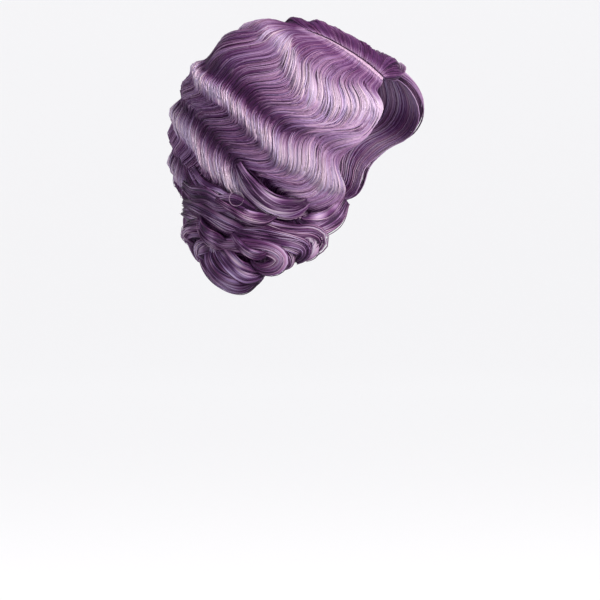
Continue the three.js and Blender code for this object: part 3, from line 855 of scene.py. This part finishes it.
def curl_base(rng, name, first, last, fibre):
    """The closed wall of one run of curls, inside its loose fibres."""
    columns = (last - first) * CURL_BASE_COLUMNS
    v = np.linspace(first, last, columns + 1) / CURL_COUNT
    beside_lock = between_locks(v, CURL_COUNT)

    def shape(t, upper):
        way, out, _ = curtain(v, t * (CURL_BASE_LENGTH - CURL_SCALLOP * beside_lock))
        full = smooth(t, 0.25, 0.55)
        deep = mix(CURL_ROOT_DEPTH, 5, full) * mix(1, 0.4, smooth(t, 0.65, 1)) * CURL_BASE_DEPTH
        groove = CURL_GROOVE * beside_lock * full * (1 - smooth(t, 0.7, 1))
        stand = np.where(wall_edges(t), 0, np.where(upper, deep - groove, -deep))
        # Painted shade: darker in the grooves between locks, and darkest on the inner side
        return way + out * stand[..., None], np.where(upper, 0.18 - 0.12 * beside_lock, 0.08)

    folded_wall(rng, name, columns, CURL_BASE_ROWS, CURL_BASE_OUTER, shape, fibre)


def side_locks(hand):
    """Stations, width and thickness of the locks on the right (-1) or the left (1)."""
    for across, deep, stations in (SIDE_LOCKS | RIGHT_LOCKS if hand < 0 else SIDE_LOCKS).values():
        yield np.array(stations, float) * [1, hand, -1], across, deep


def nape_locks(rng):
    """Locks that hang round the nape in rows and swing to alternate sides, each with a hooked end."""
    for row, (top, low) in enumerate(NAPE_ROWS):
        for i in range(NAPE_LOCKS):
            share = (i + 0.25 + 0.5 * row) / (NAPE_LOCKS - 0.25)
            v = np.array([mix(*NAPE_REACH, share) / CURL_COUNT])
            way, out, across = curtain(v, np.linspace(top, low, len(NAPE_SWING))[None])
            swing = (-1) ** i * NAPE_SWING * (0.8 + 0.4 * rng.random())
            stand = NAPE_STAND + UPPER_ROW_STAND * (1 - row)
            yield way[0] + across[0] * swing[:, None] + out[0] * stand[:, None], *NAPE_LOCK_SIZE


def lock_strands(rng, stations, across, deep):
    """The strands of one lock, which part from each other between its root and its tip.

    Locks lie deeper in the shade towards the back.
    """
    back = 0.1 * smooth(-stations[:, 0].mean(), 45, 90)
    for k in range(LOCK_STRANDS):
        beside = mix(-1, 1, (k + 0.5) / LOCK_STRANDS) + 0.08 * rng.normal()
        yield {
            "stations": stations,
            "beside": beside * across * 0.5,
            "across": across * 0.56,
            "deep": deep * 0.8,
            "stand": 0.9 * rng.normal() - 1.2 * abs(beside),
            "ends": 1 - 0.12 * rng.random(),
            "sheen": 0.07 * rng.normal(),
            "shade": 0.07 * rng.normal() - back,
            "tone": 0.5 + 0.16 * rng.normal(),
        }


def strand_way(strand, t):
    """A strand's middle line at the shares t (n, m) of its length, with the ways across and outwards."""
    way = smooth_way(np.repeat(strand["stations"][None], len(t), 0), t * strand["ends"])
    along = unit(np.gradient(way, axis=1))
    beside = unit(np.cross(along, way * [1, 1, STRAND_LEAN]))
    out = np.cross(beside, along)
    fan = mix(0.55, 1, smooth(t, 0, 0.3)) * mix(1, 0.5, smooth(t, 0.75, 1))
    way = way + beside * (strand["beside"] * fan)[..., None] + out * strand["stand"]
    return way, beside, out


def strand_size(t):
    """A strand's width and thickness along it, as shares of the most: narrow at its root and its tip."""
    tip = mix(1, 0.3, smooth(t, 0.75, 1))
    return mix(0.6, 1, smooth(t, 0.0, 0.35)) * tip, mix(0.6, 1, smooth(t, 0.1, 0.5)) * tip


def strand_shade(strand, t, height, beside):
    """How far a strand stands in the light, from the place along it, out of it and across it."""
    t = t - strand["sheen"]
    sheen = np.exp(-(((t - 0.62) / 0.17) ** 2)) + 0.6 * np.exp(-(((t - 0.22) / 0.11) ** 2))
    lit = 0.05 + 0.16 * height - 0.12 * np.abs(beside) + 0.5 * sheen * smooth(height, -0.2, 0.7)
    return lit + strand["shade"]


def strand_core(rng, strand):
    """The body of one strand: a flat streaked tube. Gives what the tubes need."""
    t = np.linspace(0, 0.97, LOCK_STEPS + 1)[None]
    way, _, out = strand_way(strand, t)
    width, depth = strand_size(t)
    turn = np.pi / 2 + 2 * np.pi * (np.arange(LOCK_SIDES) + 0.5) / LOCK_SIDES
    tone = strand["tone"] + 0.16 * rng.normal(size=(1, LOCK_SIDES))
    streak = 0.13 * rng.normal(size=LOCK_SIDES)
    # Painted shade: the core a little darker than the fibres on it; its streaks are tones of their own
    shade = strand_shade(strand, t[..., None], np.sin(turn), np.cos(turn)) - 0.12 + streak
    return way, out, 0.9 * strand["across"] * width, 0.8 * strand["deep"] * depth, tone, shade


def strand_fibres(rng, strand):
    """Fibres on the body of one strand: ways, outwards, thickness, tone and shade."""
    n = STRAND_FIBRES
    t = np.linspace(0, 1, LOCK_STEPS + 1)[None] * (1 - 0.1 * rng.random(n))[:, None]
    way, beside, out = strand_way(strand, t)
    width, depth = strand_size(t)
    turn = np.pi * (1.1 * rng.random(n) - 0.05)[:, None]
    drift = 0.25 * np.sin(t * 7 + 6.3 * rng.random(n)[:, None])
    stand = 1 + 0.4 * rng.random(n)[:, None] ** 3 + 0.3 * rng.random(n)[:, None] ** 2 * smooth(t, 0.6, 1)
    a, b = np.cos(turn + drift) * stand, np.sin(turn + drift) * stand
    ways = way + beside * (a * width * strand["across"] / 2)[..., None]
    ways = ways + out * (b * depth * strand["deep"] / 2)[..., None]
    thickness = tapered(rng, t, 0.65, 0.95)
    tone = strand["tone"] + 0.18 * rng.normal(size=n)
    shade = strand_shade(strand, t, b, a) + 0.1 * rng.normal(size=n)[:, None]
    return ways, out, thickness, tone, shade


def curtain_fibres(rng, first, last):
    """Wavy fibres of the curtain of curls between two locks of its count."""
    n = int(CURTAIN_FIBRES * (last - first) / CURL_COUNT)
    v = (first + (last - first) * (np.arange(n) + rng.random(n)) / n) / CURL_COUNT
    t = np.linspace(0, 1, CURTAIN_STEPS + 1)[None] * (0.76 + 0.16 * rng.random(n))[:, None]
    way, out, across = curtain(v, t)
    clump = (v * CURL_COUNT * 1.5).astype(int)
    start = 6.3 * rng.random(CURTAIN_CLUMPS)[clump][:, None] + 0.4 * rng.normal(size=n)[:, None]
    swing = np.sin(2 * np.pi * t * 1.7 + start) * smooth(t, 0.1, 0.4)
    depth = (np.where(rng.random(n) < 0.5, -1, 1) * (0.7 + 0.35 * rng.random(n)))[:, None]
    stand = mix(CURL_ROOT_DEPTH, 5.5, smooth(t, 0.25, 0.55)) * mix(1, 0.5, smooth(t, 0.7, 1))
    ways = way + across * (CURTAIN_SWING * swing)[..., None] + out * (stand * depth + swing)[..., None]
    thickness = tapered(rng, t, 0.75, 1.0)
    tone = 0.5 + 0.2 * rng.normal(size=CURTAIN_CLUMPS)[clump] + 0.16 * rng.normal(size=n)
    # Painted light and shade: fibres that stand or swing further out are lighter
    shade = 0.18 + 0.1 * depth + 0.12 * swing + 0.08 * rng.normal(size=n)[:, None]
    return ways, out, thickness, tone, shade


def curl_fibres(rng, fibre):
    """The locks and the loose fibres of the curls, as pieces for each run."""
    for name, first, last in CURL_SECTIONS:
        locks = list(nape_locks(rng))
        if name in SIDES:
            locks = side_locks(SIDES[name])
        strands = [strand for lock in locks for strand in lock_strands(rng, *lock)]
        for kind, make, parts in (
            ("locks", tubes, [strand_core(rng, strand) for strand in strands]),
            ("lock_fibres", fibres, [strand_fibres(rng, strand) for strand in strands]),
            ("fibres", fibres, [curtain_fibres(rng, first, last)]),
        ):
            joined = [np.concatenate(columns) for columns in zip(*parts)]
            piece(f"{name}_{kind}", make(name, *joined), fibre)


def loose_loop(fibre):
    """One loose fibre that has sprung into a ring on the right."""
    turn = np.radians(np.linspace(-30, 350, 40))
    across, up = LOOP["radius"] * np.cos(turn), LOOP["radius"] * np.sin(turn)
    way = np.stack([LOOP["forward"] + across, -LOOP["beside"] - turn / 4, up - LOOP["below"]], -1)[None]
    outwards = np.broadcast_to([0.0, -1.0, 0.0], way.shape)
    even = np.ones((1, len(turn)))
    mesh = fibres("loop", way, outwards, LOOP["thickness"] * even, np.array([0.6]), 0.65 * even)
    piece("loose_loop", mesh, fibre)


# Cap and parting

CAP_GRID = (96, 32)  # round it and up it
NET_INSET = 0.1  # of either side of the net, inside the cap's wall
PARTING_GRID = (6, 60)
PARTING_CROWN = 0.4  # how far the edges lie below the middle
WEAVE_THICKNESS = 0.8


def cap(net):
    """The stretch cap, open at the front and below, with a wall of its own."""
    bm, across, up = grid(*CAP_GRID)
    azimuth = 360 * across
    d = direction(azimuth, mix(cap_edge(azimuth), 90, np.sin(up * np.pi / 2)))
    place_all(bm, d * (cap_radius(d) - NET_INSET)[:, None])
    piece("cap_net", finished(bm, "cap", CAP_WALL - 2 * NET_INSET), net, ["cap"])


def parting(weave):
    """The pale strip along the parting, slightly crowned."""
    bm, across, along = grid(*PARTING_GRID)
    point, _, left = parting_frame(along)
    side = 2 * across - 1
    rise = PARTING_LIFT + PARTING_THICKNESS - PARTING_CROWN * side**2
    spot = unit(point + left * (side * parting_half_width(along))[:, None])
    place_all(bm, spot * (cap_radius(spot) + rise)[:, None])
    mesh = finished(bm, "parting_strip", WEAVE_THICKNESS)
    piece("parting_weave", mesh, weave, ["parting_strip"])


# Studio

PIXEL = 0.91  # millimetres of the wig to one pixel of the picture
PICTURE_WIDTH = 600
CENTRE_FORWARD = 1.8  # where the middle of the picture meets the wig's middle plane
CENTRE_HEIGHT = -246.0
LENS = 220.0
SENSOR = 36.0
# The floor's sizes are in metres
FLOOR_HEIGHT = -0.62
FLOOR_FLAT = 4.5  # radius of its level part
FLOOR_BEND = 1.5
WALL_TOP = 4.5


def camera():
    data = bpy.data.cameras.new("camera")
    data.lens, data.sensor_width = LENS, SENSOR
    data.clip_end = 100
    made = linked("camera", data)
    distance = PIXEL * PICTURE_WIDTH * LENS / SENSOR
    height = MIDDLE[2]
    tilt = math.atan2(height - CENTRE_HEIGHT, distance)
    made.location = (CENTRE_FORWARD * MM, -distance * MM, height * MM)
    made.rotation_euler = (math.pi / 2 - tilt, 0, 0)
    bpy.context.scene.camera = made


def lamp(name, place, size, watts, colour="#ffffff"):
    """A round soft lamp that is turned to the wig."""
    data = bpy.data.lights.new(name, "AREA")
    data.shape, data.size, data.energy = "DISK", size, watts
    data.color = linear(colour)[:3]
    made = linked(name, data)
    made.location = place
    aim = Vector(place) - Vector(MIDDLE * MM)
    made.rotation_euler = aim.to_track_quat("Z", "Y").to_euler()


def sweep():
    """A pale floor that sweeps up all round into a pale wall."""
    bm = bmesh.new()
    profile = [(0, 0), (FLOOR_FLAT, 0)]
    for a in np.linspace(0, np.pi / 2, 9)[1:]:
        profile.append((FLOOR_FLAT + FLOOR_BEND * math.sin(a), FLOOR_BEND - FLOOR_BEND * math.cos(a)))
    profile.append((FLOOR_FLAT + FLOOR_BEND, WALL_TOP))
    line = [bm.verts.new((r, 0, z + FLOOR_HEIGHT)) for r, z in profile]
    edges = [bm.edges.new(pair) for pair in zip(line, line[1:])]
    bmesh.ops.spin(
        bm, geom=line + edges, axis=(0, 0, 1), cent=(0, 0, 0), angle=2 * math.pi, steps=64, use_merge=True,
    )
    bmesh.ops.remove_doubles(bm, verts=bm.verts, dist=1e-4)
    floor = shaded("sweep", as_mesh(bm, "sweep"), matt_paper())


def studio():
    """The pale sweep, a dim pale sky and three soft lamps."""
    sweep()
    world = bpy.data.worlds.new("studio")
    bpy.context.scene.world = world
    world.use_nodes = True
    sky = world.node_tree.nodes["Background"].inputs
    sky["Color"].default_value = linear("#f2f2f4")
    sky["Strength"].default_value = 0.4
    lamp("key", place=(1.6, -1.4, 1.0), size=0.9, watts=84, colour="#fff6f0")
    lamp("top", place=(0.2, -0.9, 1.8), size=1.2, watts=12, colour="#fff8f4")
    lamp("rim", place=(-1.4, 0.9, 0.7), size=0.9, watts=4)
    bpy.context.scene.view_settings.view_transform = "Standard"


def dress():
    rng = np.random.default_rng(WAVE_SEED)
    fibre = synthetic_fibre()
    cap(stretch_net())
    parting(woven_parting())
    for name, first, last in HAIR_SECTIONS:
        wave_base(rng, name, first, last, fibre)
    wave_fibres(rng, fibre)
    under_fibres(rng, fibre)
    rng = np.random.default_rng(CURL_SEED)
    for name, first, last in CURL_SECTIONS:
        curl_base(rng, name, first, last, fibre)
    curl_fibres(rng, fibre)
    loose_loop(fibre)
    studio()
    camera()


dress()
bpy.context.view_layer.update()
